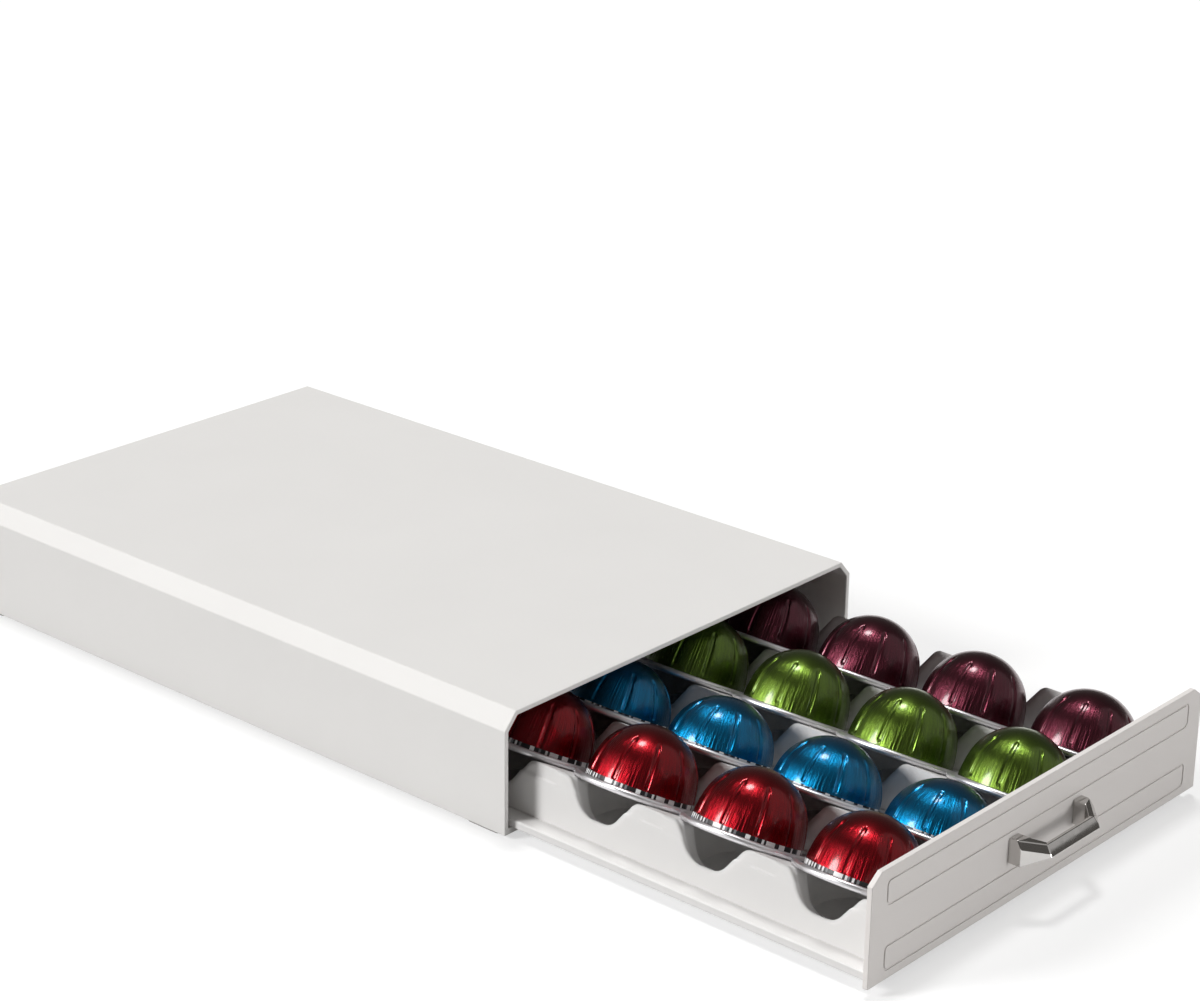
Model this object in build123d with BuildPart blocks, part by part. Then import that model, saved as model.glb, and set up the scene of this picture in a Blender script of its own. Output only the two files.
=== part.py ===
from build123d import *
import os
from math import cos, hypot, radians, sin, tan

# Pull-out capsule drawer. Millimetres, +Z up, front towards -Y.
# The origin is on the table, under the middle of the object with its drawer drawn half out.

# Cabinet
cabinet_wall = 2.5
head_room = 4.74
closing_room = 10.5
cabinet_slope_across = 7.3
cabinet_slope_down = 8.1
ledge_width = 8.0
ledge_height = 3.0
back_thickness = 2.5
back_gap = 0.1

# Anti-slip feet
foot_height = 1.5
foot_width = 7.0
foot_length = 20.0
foot_corner = 2.0
foot_end_distance = 16.0

# Guide rails above the runner flanges
guide_width = 6.0
guide_height = 3.0
guide_setback = 10.0
guide_play = 2.0
nib_length = 4.0
nib_gap = 0.5
nib_end_distance = 45.5

# Drawer travel
pull_out = 203.0
runner_clearance = 0.3
side_clearance = 2.0

# Capsule
dome_radius = 25.8
tall_dome_height = 32.3
low_dome_height = 27.3
crown_share = 0.15
rim_width = 5.1
bead_radius = 1.6
lid_thickness = 0.5
lid_gap = 0.1
flange_thickness = 0.8
cup_wall = 0.6

# Capsule places
capsule_lean = 29.0
column_names = ["red", "blue", "green", "purple"]
low_columns = ["blue"]
row_count = 6
filled_rows = 4
column_gap = 2.05
row_gap = 0.9
seat_gap = 0.2
rim_overhang = 0.4
front_gap = 2.2
rear_margin = 4.5

# Tray
crest_step = 0.8
crest_band_height = 7.5
right_wall = 2.2
tray_floor = 2.6
floor_drop = 2.0
runner_width = 8.5
runner_thickness = 3.9
runner_edge_slope = 0.6
seat_ring = 8.4
rim_stop_gap = 0.4
rim_stop_height = 3.0
hollow_wall = 2.5

# Finger notches
notch_depth = 15.0
notch_floor_half_width = 8.0
notch_front_half_width = 22.0
notch_rear_half_width = 17.0
notch_lift = 0.3
notch_floor_round = 11.0
notch_front_round = 9.0
notch_rear_round = 5.0
notch_shoulder = 8.0
notch_reach = 18.0

# Front panel
panel_thickness = 2.5
panel_height = 52.4
panel_bottom_gap = 2.6
panel_slope_across = 6.5
panel_slope_down = 4.9
frame_side_margin = 10.5
frame_height = 12.4
upper_frame_top_margin = 5.3
lower_frame_bottom_margin = 3.8
frame_corner = 3.0
frame_line = 0.9
frame_line_depth = 0.5

# Handle
handle_centre_height = 29.0
handle_span = 57.0
handle_leg_width = 7.0
handle_leg_height = 12.0
handle_leg_straight = 6.5
handle_bar_inset = 9.5
handle_bar_lift = 1.5
handle_bar_height = 6.0
handle_bar_depth = 5.0
handle_stand_off = 16.5
handle_bevel = 1.2

# Handle screws
screw_radius = 1.7
screw_hole_radius = 1.75
screw_head_radius = 3.2
screw_head_gap = 0.1
screw_head_angle = 90.0
screw_tip_gap = 0.5

# All cuts run past the material by this much
overrun = 3.0

os.makedirs("parts", exist_ok=True)


def crown_radius(dome_height):
    """Radius of the arc over a dome's top."""
    return dome_radius - (dome_height - dome_radius) * crown_share


# Capsule as it leans: how far its rim reaches to either side of the middle of its lid
lean = radians(capsule_lean)
lean_slope = tan(lean)
rim_radius = dome_radius + rim_width
flange_top = lid_thickness + flange_thickness
rim_reach = (rim_radius - bead_radius) * cos(lean)
rim_reach_low = rim_reach + bead_radius * (1 + sin(lean))
rim_reach_high = rim_reach + bead_radius * (1 - sin(lean))
column_pitch = rim_reach_low + rim_reach_high + column_gap
row_pitch = 2 * rim_radius + row_gap
first_row = rim_radius + front_gap
seat_offset = rim_reach_high - rim_overhang
well_radius = rim_radius - seat_ring

# Tray and cabinet, across and along
tray_width = len(column_names) * column_pitch + crest_step + right_wall
tray_left = -tray_width / 2
tray_right = tray_width / 2
tray_length = first_row + (row_count - 1) * row_pitch + rim_radius + rear_margin
inner_half_width = tray_width / 2 + runner_width + side_clearance
cabinet_width = 2 * (inner_half_width + cabinet_wall)
cabinet_depth = tray_length + closing_room + back_thickness
overall_depth = cabinet_depth + pull_out + panel_thickness + handle_stand_off
cabinet_rear = overall_depth / 2
cabinet_front = cabinet_rear - cabinet_depth
tray_front = cabinet_front - pull_out
tray_rear = tray_front + tray_length
riser_places = [tray_left + crest_step + i * column_pitch for i in range(len(column_names) + 1)]
column_places = [riser + seat_offset for riser in riser_places[:-1]]
row_places = [tray_front + first_row + i * row_pitch for i in range(row_count)]

# Levels, from the table upwards
cabinet_bottom = foot_height
ledge_top = cabinet_bottom + ledge_height
runner_bottom = ledge_top + runner_clearance
runner_top = runner_bottom + runner_thickness
tray_bottom = runner_bottom - floor_drop
valley_height = tray_bottom + tray_floor
crest_height = valley_height + column_pitch * lean_slope
seat_height = crest_height - seat_offset * lean_slope + seat_gap * cos(lean)
tall_crown_radius = crown_radius(tall_dome_height)
tall_crown_rise = flange_top + tall_dome_height - tall_crown_radius
dome_top = seat_height + tall_crown_rise * cos(lean) + tall_crown_radius
cabinet_top = dome_top + head_room + cabinet_wall

guide_bottom = runner_top + guide_play
guide_front = cabinet_front + guide_setback
guide_rear = cabinet_rear - back_thickness - back_gap


def ramp_height(column, across):
    """Height of a column's ramp at a place across the tray."""
    return crest_height - (across - riser_places[column]) * lean_slope


def cross_plane(y):
    """Plane across the object, drawn as seen from the front, whose extrusions run forwards."""
    return Plane.XZ.offset(-y)


def section_outline(inset, bottom):
    """Outline of the cabinet's section, drawn in by a wall's thickness, from a bottom level upwards."""
    slope_length = hypot(cabinet_slope_across, cabinet_slope_down)
    half = cabinet_width / 2 - inset
    top = cabinet_top - inset
    shoulder = cabinet_top - cabinet_slope_down
    shoulder -= inset * (slope_length - cabinet_slope_down) / cabinet_slope_across
    crown = cabinet_width / 2 - cabinet_slope_across
    crown -= inset * (slope_length - cabinet_slope_across) / cabinet_slope_down
    return [(-half, bottom), (-half, shoulder), (-crown, top), (crown, top), (half, shoulder), (half, bottom)]


# Cabinet shell: one section from front to back, with a ledge along the foot of each side
with BuildPart() as cabinet_shell:
    with BuildSketch(cross_plane(cabinet_rear)):
        with BuildLine():
            Polyline(*section_outline(0, cabinet_bottom), close=True)
        make_face()
        with BuildLine():
            Polyline(*section_outline(cabinet_wall, cabinet_bottom - overrun), close=True)
        make_face(mode=Mode.SUBTRACT)
        ledge_middle = inner_half_width - ledge_width / 2
        with Locations((-ledge_middle, cabinet_bottom), (ledge_middle, cabinet_bottom)):
            Rectangle(ledge_width, ledge_height, align=(Align.CENTER, Align.MIN))
    extrude(amount=cabinet_depth)

# Back panel: fills the shell's rear end above the ledges
with BuildPart() as back_panel:
    with BuildSketch(cross_plane(cabinet_rear)):
        with BuildLine():
            Polyline(*section_outline(cabinet_wall + back_gap, ledge_top), close=True)
        make_face()
    extrude(amount=back_thickness)


def make_guide(side):
    """Guide rail on one side wall, with its stop nib at the front end."""
    wall_face = side * inner_half_width
    inward = Align.MIN if side < 0 else Align.MAX
    with BuildPart() as guide:
        with Locations((wall_face, guide_front, guide_bottom)):
            Box(guide_width, guide_rear - guide_front, guide_height, align=(inward, Align.MIN, Align.MIN))
        with Locations((wall_face, guide_front, guide_bottom)):
            Box(guide_width, nib_length, guide_play - nib_gap, align=(inward, Align.MIN, Align.MAX))
    return guide


left_guide_rail = make_guide(-1)
right_guide_rail = make_guide(1)


def make_foot(side, foot_middle):
    """Pad under the ledge and side wall of one side."""
    across = side * (cabinet_width / 2 - (cabinet_wall + ledge_width) / 2)
    with BuildPart() as foot:
        with BuildSketch(Plane(origin=(across, foot_middle, 0))):
            RectangleRounded(foot_width, foot_length, foot_corner)
        extrude(amount=foot_height)
    return foot


front_feet_middle = cabinet_front + foot_end_distance
rear_feet_middle = cabinet_rear - foot_end_distance
front_left_foot = make_foot(-1, front_feet_middle)
front_right_foot = make_foot(1, front_feet_middle)
rear_left_foot = make_foot(-1, rear_feet_middle)
rear_right_foot = make_foot(1, rear_feet_middle)

# Cutter for one finger notch: a round-bottomed groove that runs down along the ramp, gentler at its front
notch_direction = Vector(cos(lean), 0, -sin(lean))
notch_plane = Plane(origin=(0, 0, 0), x_dir=(0, 1, 0), z_dir=notch_direction)
with BuildPart() as notch_cutter:
    with BuildSketch(notch_plane):
        with BuildLine():
            Polyline(
                (-notch_front_half_width - notch_shoulder, notch_lift + overrun),
                (-notch_front_half_width - notch_shoulder, notch_lift),
                (-notch_front_half_width, notch_lift),
                (-notch_floor_half_width, -notch_depth),
                (notch_floor_half_width, -notch_depth),
                (notch_rear_half_width, notch_lift),
                (notch_rear_half_width + notch_shoulder, notch_lift),
                (notch_rear_half_width + notch_shoulder, notch_lift + overrun),
                close=True,
            )
        make_face()
        fillet(vertices().group_by(Axis.Y)[0], notch_floor_round)
        fillet(vertices().sort_by_distance((-notch_front_half_width, notch_lift, 0))[0], notch_front_round)
        fillet(vertices().sort_by_distance((notch_rear_half_width, notch_lift, 0))[0], notch_rear_round)
    extrude(amount=notch_reach)
    extrude(notch_cutter.faces().sort_by(Axis.X)[0], amount=overrun)


def tray_outline():
    """Section of the tray: a ramp, a rim stop and a riser for each column, between two runner flanges."""
    points = [
        (tray_left, tray_bottom),
        (tray_left, runner_bottom),
        (tray_left - runner_width, runner_bottom),
        (tray_left - runner_width, runner_top - runner_edge_slope),
        (tray_left - runner_width + runner_edge_slope, runner_top),
        (tray_left, runner_top),
        (tray_left, crest_height - crest_band_height),
        (riser_places[0], crest_height - crest_band_height + crest_step),
    ]
    for column, centre in enumerate(column_places):
        stop_face = centre + rim_reach_low + rim_stop_gap
        stop_foot = ramp_height(column, stop_face)
        points.append((riser_places[column], crest_height))
        points.append((stop_face, stop_foot))
        points.append((stop_face, stop_foot + rim_stop_height))
        points.append((riser_places[column + 1], stop_foot + rim_stop_height))
    points += [
        (riser_places[-1], crest_height),
        (tray_right, crest_height - right_wall * lean_slope),
        (tray_right, runner_top),
        (tray_right + runner_width - runner_edge_slope, runner_top),
        (tray_right + runner_width, runner_top - runner_edge_slope),
        (tray_right + runner_width, runner_bottom),
        (tray_right, runner_bottom),
        (tray_right, tray_bottom),
    ]
    return points


def hollow_outline(column):
    """Section of the hollow under one ramp, open at the bottom."""
    start = riser_places[column] + hollow_wall
    end = riser_places[column + 1] - hollow_wall - tray_floor
    skin = hollow_wall / cos(lean)
    return [
        (start, tray_bottom - overrun),
        (start, ramp_height(column, start) - skin),
        (end, ramp_height(column, end) - skin),
        (end, tray_bottom - overrun),
    ]


# Tray: sawtooth body with stop nibs, seat wells, hollows between the wells and finger notches
with BuildPart() as capsule_tray:
    with BuildSketch(cross_plane(tray_rear)):
        with BuildLine():
            Polyline(*tray_outline(), close=True)
        make_face()
    extrude(amount=tray_length)
    nib_middle = tray_width / 2 + runner_width - guide_width / 2
    with Locations(*[(side * nib_middle, tray_rear - nib_end_distance, runner_top) for side in (-1, 1)]):
        Box(
            guide_width - 2 * runner_edge_slope,
            nib_length,
            guide_play - nib_gap,
            align=(Align.CENTER, Align.MIN, Align.MIN),
        )
    hollow_length = row_pitch - 2 * (well_radius + hollow_wall)
    for row in range(row_count - 1):
        hollow_rear = row_places[row + 1] - well_radius - hollow_wall
        with BuildSketch(cross_plane(hollow_rear)):
            for column in range(len(column_names)):
                with BuildLine():
                    Polyline(*hollow_outline(column), close=True)
                make_face()
        extrude(amount=hollow_length, mode=Mode.SUBTRACT)
    with Locations(*[(x, y, valley_height) for x in column_places for y in row_places]):
        Cylinder(
            well_radius,
            crest_height - valley_height + overrun,
            align=(Align.CENTER, Align.CENTER, Align.MIN),
            mode=Mode.SUBTRACT,
        )
    with Locations(*[(x, y, crest_height) for x in riser_places for y in row_places]):
        add(notch_cutter.part, mode=Mode.SUBTRACT)

# Front panel: plate with sloping top corners, two engraved frames and two screw holes
panel_bottom = cabinet_bottom + panel_bottom_gap
panel_top = panel_bottom + panel_height
panel_half = cabinet_width / 2
handle_height = cabinet_bottom + handle_centre_height
screw_across = (handle_span - handle_leg_width) / 2
frame_width = cabinet_width - 2 * frame_side_margin
frame_heights = [
    panel_top - upper_frame_top_margin - frame_height / 2,
    panel_bottom + lower_frame_bottom_margin + frame_height / 2,
]
with BuildPart() as front_panel:
    with BuildSketch(cross_plane(tray_front)):
        with BuildLine():
            Polyline(
                (-panel_half, panel_bottom),
                (-panel_half, panel_top - panel_slope_down),
                (-panel_half + panel_slope_across, panel_top),
                (panel_half - panel_slope_across, panel_top),
                (panel_half, panel_top - panel_slope_down),
                (panel_half, panel_bottom),
                close=True,
            )
        make_face()
    extrude(amount=panel_thickness)
    with BuildSketch(cross_plane(tray_front - panel_thickness)):
        with Locations(*[(0, height) for height in frame_heights]):
            RectangleRounded(frame_width, frame_height, frame_corner)
            RectangleRounded(
                frame_width - 2 * frame_line,
                frame_height - 2 * frame_line,
                frame_corner - frame_line,
                mode=Mode.SUBTRACT,
            )
    extrude(amount=-frame_line_depth, mode=Mode.SUBTRACT)
    panel_back = Plane(origin=(0, tray_front, handle_height), x_dir=(-1, 0, 0), z_dir=(0, 1, 0))
    with Locations(panel_back):
        with Locations((-screw_across, 0), (screw_across, 0)):
            CounterSinkHole(
                screw_hole_radius,
                screw_head_radius + screw_head_gap,
                panel_thickness + overrun,
                counter_sink_angle=screw_head_angle,
            )

# Handle: a bow in plan, tapering from its legs to its bar, with bevelled edges
handle_back = tray_front - panel_thickness
bow_front = handle_back - handle_stand_off
half_span = handle_span / 2
bar_half_length = half_span - handle_bar_inset
bar_height = handle_height + handle_bar_lift
with BuildPart() as bow_handle:
    with BuildSketch(Plane.XY.offset(handle_height - handle_leg_height / 2)):
        with BuildLine():
            Polyline(
                (-half_span, handle_back),
                (-half_span, handle_back - handle_leg_straight),
                (-bar_half_length, bow_front),
                (bar_half_length, bow_front),
                (half_span, handle_back - handle_leg_straight),
                (half_span, handle_back),
                (half_span - handle_leg_width, handle_back),
                (half_span - handle_leg_width, handle_back - handle_leg_straight),
                (bar_half_length - handle_bar_depth / 2, bow_front + handle_bar_depth),
                (-bar_half_length + handle_bar_depth / 2, bow_front + handle_bar_depth),
                (-half_span + handle_leg_width, handle_back - handle_leg_straight),
                (-half_span + handle_leg_width, handle_back),
                close=True,
            )
        make_face()
    extrude(amount=handle_leg_height)
    with BuildSketch(Plane.YZ.offset(-half_span - overrun)):
        with BuildLine():
            Polyline(
                (handle_back, handle_height - handle_leg_height / 2),
                (handle_back, handle_height + handle_leg_height / 2),
                (handle_back - handle_leg_straight, handle_height + handle_leg_height / 2),
                (bow_front, bar_height + handle_bar_height / 2),
                (bow_front, bar_height - handle_bar_height / 2),
                (handle_back - handle_leg_straight, handle_height - handle_leg_height / 2),
                close=True,
            )
        make_face()
    extrude(amount=handle_span + 2 * overrun, mode=Mode.INTERSECT)
    front_edges = bow_handle.faces().sort_by(Axis.Y)[0].edges()
    chamfer(front_edges.filter_by(Axis.X), handle_bevel)
    with Locations(Plane(origin=(0, handle_back, handle_height), x_dir=(-1, 0, 0), z_dir=(0, 1, 0))):
        with Locations((-screw_across, 0), (screw_across, 0)):
            Hole(screw_hole_radius, handle_leg_straight)


def make_screw(side):
    """Countersunk screw whose head is sunk into the back of the panel."""
    head_depth = (screw_head_radius - screw_radius) / tan(radians(screw_head_angle) / 2)
    head_centre = (side * screw_across, tray_front, handle_height)
    head_plane = Plane(origin=head_centre, x_dir=(1, 0, 0), z_dir=(0, -1, 0))
    with BuildPart() as screw:
        with BuildSketch(head_plane):
            Circle(screw_radius)
        extrude(amount=panel_thickness + handle_leg_straight - screw_tip_gap)
        with BuildSketch(head_plane):
            Circle(screw_head_radius)
        with BuildSketch(head_plane.offset(head_depth)):
            Circle(screw_radius)
        loft()
    return screw


left_handle_screw = make_screw(-1)
right_handle_screw = make_screw(1)


def make_cup(dome_height):
    """Dome with its flange and rolled rim, standing on its rim: a side arc that runs into a crown arc."""
    crown = crown_radius(dome_height)
    crown_centre = Vector(0, flange_top + dome_height - crown)
    side_radius = dome_radius + (dome_height - dome_radius) * (1 + 2 * crown_share) / (2 * crown_share)
    to_meeting = Vector((1 + 2 * crown_share) / (2 * crown_share), 1 + crown_share).normalized()
    with BuildPart() as cup:
        with BuildSketch(Plane.XZ):
            with BuildLine():
                for wall in (0, cup_wall):
                    foot = Vector(dome_radius - wall, flange_top)
                    meeting = crown_centre + to_meeting * (crown - wall)
                    apex = Vector(0, flange_top + dome_height - wall)
                    RadiusArc(foot, meeting, wall - side_radius)
                    RadiusArc(meeting, apex, wall - crown)
                Line((0, flange_top + dome_height - cup_wall), (0, flange_top + dome_height))
                Line((dome_radius - cup_wall, flange_top), (dome_radius, flange_top))
            make_face()
            with Locations((dome_radius - cup_wall, lid_thickness)):
                Rectangle(
                    rim_width - bead_radius + cup_wall,
                    flange_thickness,
                    align=(Align.MIN, Align.MIN),
                )
            with Locations((rim_radius - bead_radius, bead_radius)):
                Circle(bead_radius)
        revolve(axis=Axis.Z)
    return cup


tall_cup = make_cup(tall_dome_height)
low_cup = make_cup(low_dome_height)

# Foil lid under the flange
with BuildPart() as foil_lid:
    Cylinder(
        rim_radius - 2 * bead_radius - lid_gap,
        lid_thickness,
        align=(Align.CENTER, Align.CENTER, Align.MIN),
    )


def seat_location(column, row):
    """Where a capsule's lid lies: on the ramp, over its well."""
    across = column_places[column]
    seat = Vector(across, row_places[row], ramp_height(column, across))
    upwards = Vector(sin(lean), 0, cos(lean))
    return Plane(origin=seat + upwards * seat_gap, x_dir=(0, -1, 0), z_dir=upwards).location


single_pieces = {
    "cabinet_shell": cabinet_shell,
    "back_panel": back_panel,
    "left_guide_rail": left_guide_rail,
    "right_guide_rail": right_guide_rail,
    "front_left_foot": front_left_foot,
    "front_right_foot": front_right_foot,
    "rear_left_foot": rear_left_foot,
    "rear_right_foot": rear_right_foot,
    "capsule_tray": capsule_tray,
    "front_panel": front_panel,
    "bow_handle": bow_handle,
    "left_handle_screw": left_handle_screw,
    "right_handle_screw": right_handle_screw,
}
for name, piece in single_pieces.items():
    piece.part.label = name
    export_step(piece.part, f"parts/{name}.step")

for column, colour in enumerate(column_names):
    cup = low_cup if colour in low_columns else tall_cup
    for row in range(filled_rows):
        seat = seat_location(column, row)
        for kind, piece in (("cup", cup), ("lid", foil_lid)):
            placed = piece.part.moved(seat)
            placed.label = f"{colour}_capsule_{row + 1}_{kind}"
            export_step(placed, f"parts/{placed.label}.step")
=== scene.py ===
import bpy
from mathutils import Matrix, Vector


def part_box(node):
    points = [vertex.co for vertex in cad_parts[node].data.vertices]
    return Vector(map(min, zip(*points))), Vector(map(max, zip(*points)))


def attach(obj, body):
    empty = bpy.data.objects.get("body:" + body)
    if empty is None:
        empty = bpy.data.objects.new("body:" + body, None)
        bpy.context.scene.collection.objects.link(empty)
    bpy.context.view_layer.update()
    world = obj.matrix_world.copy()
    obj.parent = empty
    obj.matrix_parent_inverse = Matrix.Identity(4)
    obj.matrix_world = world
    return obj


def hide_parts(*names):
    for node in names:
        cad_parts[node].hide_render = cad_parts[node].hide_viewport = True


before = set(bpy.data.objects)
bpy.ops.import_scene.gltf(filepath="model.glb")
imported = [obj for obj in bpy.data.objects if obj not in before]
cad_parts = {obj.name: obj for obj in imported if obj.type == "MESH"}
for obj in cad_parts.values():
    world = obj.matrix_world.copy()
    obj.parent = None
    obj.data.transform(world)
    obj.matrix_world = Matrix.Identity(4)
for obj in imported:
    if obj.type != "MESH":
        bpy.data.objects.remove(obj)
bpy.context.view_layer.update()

from math import atan2, cos, floor, hypot, pi, radians, sin, sqrt
from types import SimpleNamespace

import bmesh
import bpy
from bpy.props import FloatProperty, FloatVectorProperty, IntProperty, PointerProperty
from bpy.types import Operator, Panel, PropertyGroup
from mathutils import Matrix, Vector

bl_info = {
    "name": "Capsule Drawer",
    "version": (1, 0, 0),
    "blender": (4, 5, 0),
    "location": "3D View > Sidebar > Capsule Drawer",
    "description": "Dresses the CAD frame of a pull-out drawer for coffee capsules",
    "category": "Object",
}

COLUMNS = ("red", "blue", "green", "purple")
LOW_COLUMNS = ("blue",)
ROWS = (1, 2, 3, 4)
LOOSE_ROWS = (1, 2, 3)


# Settings


class PlasticSettings(PropertyGroup):
    """Finish of the moulded plastic and the rubber."""

    cabinet_colour: FloatVectorProperty(
        name="Cabinet colour", description="Warm white of the cabinet",
        subtype="COLOR", size=3, min=0.0, max=1.0, default=(0.73, 0.72, 0.706),
    )
    tray_colour: FloatVectorProperty(
        name="Tray colour", description="Warm white of the capsule tray",
        subtype="COLOR", size=3, min=0.0, max=1.0, default=(0.73, 0.72, 0.71),
    )
    # The panel is the same plastic as the cabinet; its warmer tint is painted warm light falling
    # on the front face
    panel_colour_with_painted_warmth: FloatVectorProperty(
        name="Panel colour", description="Warm white of the front panel",
        subtype="COLOR", size=3, min=0.0, max=1.0, default=(0.745, 0.715, 0.695),
    )
    foot_colour: FloatVectorProperty(
        name="Foot colour", description="Grey of the rubber feet",
        subtype="COLOR", size=3, min=0.0, max=1.0, default=(0.34, 0.33, 0.32),
    )
    roughness: FloatProperty(
        name="Roughness", description="Middle roughness of the satin plastic",
        subtype="FACTOR", min=0.0, max=1.0, default=0.6,
    )
    grain: FloatProperty(
        name="Grain", description="Height of the moulded grain",
        unit="LENGTH", precision=6, min=0.0, default=0.00002,
    )
    edge_round: FloatProperty(
        name="Edge rounding", description="Radius of the softened moulded edges",
        unit="LENGTH", precision=5, min=0.0, default=0.0006,
    )
    lip_round: FloatProperty(
        name="Notch rounding", description="Radius of the soft lips of the finger notches",
        unit="LENGTH", precision=4, min=0.0, default=0.004,
    )
    notch_spacing: FloatProperty(
        name="Notch spacing", description="Distance from one finger notch to the next",
        unit="LENGTH", precision=4, min=0.01, default=0.0627,
    )
    notch_depth: FloatProperty(
        name="Notch depth", description="Depth of a finger notch below the tray's crest",
        unit="LENGTH", precision=4, min=0.0, default=0.0175,
    )


class CabinetSettings(PropertyGroup):
    """Section of the cabinet."""

    wall: FloatProperty(
        name="Wall", description="Thickness of the cabinet's walls",
        unit="LENGTH", precision=4, min=0.001, default=0.0025,
    )
    slope_across: FloatProperty(
        name="Slope across", description="Width of the sloping edge along the top",
        unit="LENGTH", precision=4, min=0.0, default=0.0073,
    )
    slope_down: FloatProperty(
        name="Slope down", description="Height of the sloping edge along the top",
        unit="LENGTH", precision=4, min=0.0, default=0.0081,
    )
    ledge_width: FloatProperty(
        name="Ledge width", description="Width of the ledge that the drawer runs on",
        unit="LENGTH", precision=4, min=0.0, default=0.008,
    )
    ledge_height: FloatProperty(
        name="Ledge height", description="Height of the ledge that the drawer runs on",
        unit="LENGTH", precision=4, min=0.0, default=0.003,
    )


class CapsuleSettings(PropertyGroup):
    """Shape and colours of the capsules."""

    dome_radius: FloatProperty(
        name="Dome radius", description="Radius of the dome at its foot",
        unit="LENGTH", precision=4, min=0.01, default=0.0258,
    )
    tall_height: FloatProperty(
        name="Tall dome", description="Height of a tall dome above the flange",
        unit="LENGTH", precision=4, min=0.01, default=0.0323,
    )
    low_height: FloatProperty(
        name="Low dome", description="Height of a low dome above the flange",
        unit="LENGTH", precision=4, min=0.01, default=0.0273,
    )
    crown_share: FloatProperty(
        name="Crown share",
        description="Share of a dome's rise over a half ball by which its crown is tightened",
        subtype="FACTOR", min=0.05, max=1.0, default=0.15,
    )
    rim_radius: FloatProperty(
        name="Rim radius", description="Outer radius of the rolled rim",
        unit="LENGTH", precision=4, min=0.01, default=0.0309,
    )
    bead_radius: FloatProperty(
        name="Bead radius", description="Radius of the rolled bead along the rim",
        unit="LENGTH", precision=4, min=0.0, default=0.0016,
    )
    flange_top: FloatProperty(
        name="Flange level", description="Height of the flange above the lid's underside",
        unit="LENGTH", precision=4, min=0.0, default=0.0013,
    )
    lid_thickness: FloatProperty(
        name="Lid thickness", description="Thickness of the foil lid",
        unit="LENGTH", precision=4, min=0.0, default=0.0005,
    )
    lean: FloatProperty(
        name="Lean", description="Angle at which a capsule lies on its ramp",
        subtype="ANGLE", unit="ROTATION", default=radians(29.0),
    )
    groove_count: IntProperty(
        name="Grooves", description="Number of pressed grooves round a dome",
        min=3, max=24, default=10,
    )
    groove_width: FloatProperty(
        name="Groove width", description="Width of a pressed groove",
        unit="LENGTH", precision=5, min=0.0, default=0.0018,
    )
    groove_depth: FloatProperty(
        name="Groove depth", description="Depth of a pressed groove",
        unit="LENGTH", precision=5, min=0.0, default=0.00065,
    )
    groove_start: FloatProperty(
        name="Groove start",
        description="Share of the dome's arc, from its top, where the grooves start",
        subtype="FACTOR", min=0.0, max=1.0, default=0.43,
    )
    groove_end: FloatProperty(
        name="Groove end", description="Height above the dome's foot where the grooves end",
        unit="LENGTH", precision=4, min=0.0, default=0.0038,
    )
    code_tops: FloatVectorProperty(
        name="Code tops",
        description="Height above the dome's foot of the ring of ticks, for each column",
        unit="LENGTH", precision=4, size=4, min=0.0, default=(0.0037, 0.0025, 0.0, 0.0),
    )
    code_count: IntProperty(
        name="Ticks", description="Number of places for ticks round a dome",
        min=12, max=400, default=150,
    )
    red: FloatVectorProperty(
        name="Red", description="Lacquer of the first column",
        subtype="COLOR", size=3, min=0.0, max=1.0, default=(0.2, 0.004, 0.008),
    )
    blue: FloatVectorProperty(
        name="Blue", description="Lacquer of the second column",
        subtype="COLOR", size=3, min=0.0, max=1.0, default=(0.002, 0.132, 0.28),
    )
    green: FloatVectorProperty(
        name="Green", description="Lacquer of the third column",
        subtype="COLOR", size=3, min=0.0, max=1.0, default=(0.09, 0.147, 0.019),
    )
    purple: FloatVectorProperty(
        name="Purple", description="Lacquer of the fourth column",
        subtype="COLOR", size=3, min=0.0, max=1.0, default=(0.084, 0.016, 0.027),
    )


class HandleSettings(PropertyGroup):
    """Shape and finish of the bow handle."""

    leg_width: FloatProperty(
        name="Leg width", description="Width of a leg along the panel",
        unit="LENGTH", precision=4, min=0.0, default=0.007,
    )
    leg_straight: FloatProperty(
        name="Straight leg", description="Length of a leg before it turns into the bar",
        unit="LENGTH", precision=4, min=0.0, default=0.0065,
    )
    bar_inset: FloatProperty(
        name="Bar inset", description="Distance of the bar's end from the outside of the leg",
        unit="LENGTH", precision=4, min=0.0, default=0.0095,
    )
    bar_lift: FloatProperty(
        name="Bar lift", description="Height of the bar's middle above the middle of the legs",
        unit="LENGTH", precision=4, min=0.0, default=0.0011,
    )
    bar_height: FloatProperty(
        name="Bar height", description="Height of the bar",
        unit="LENGTH", precision=4, min=0.0, default=0.0051,
    )
    bar_depth: FloatProperty(
        name="Bar depth", description="Depth of the bar from front to back",
        unit="LENGTH", precision=4, min=0.0, default=0.005,
    )
    facet: FloatProperty(
        name="Facet", description="Height of the sloping facet along the upper front edge",
        unit="LENGTH", precision=4, min=0.0, default=0.0034,
    )
    chrome_colour: FloatVectorProperty(
        name="Chrome colour", description="Reflection colour of the chrome",
        subtype="COLOR", size=3, min=0.0, max=1.0, default=(0.58, 0.565, 0.55),
    )


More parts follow.
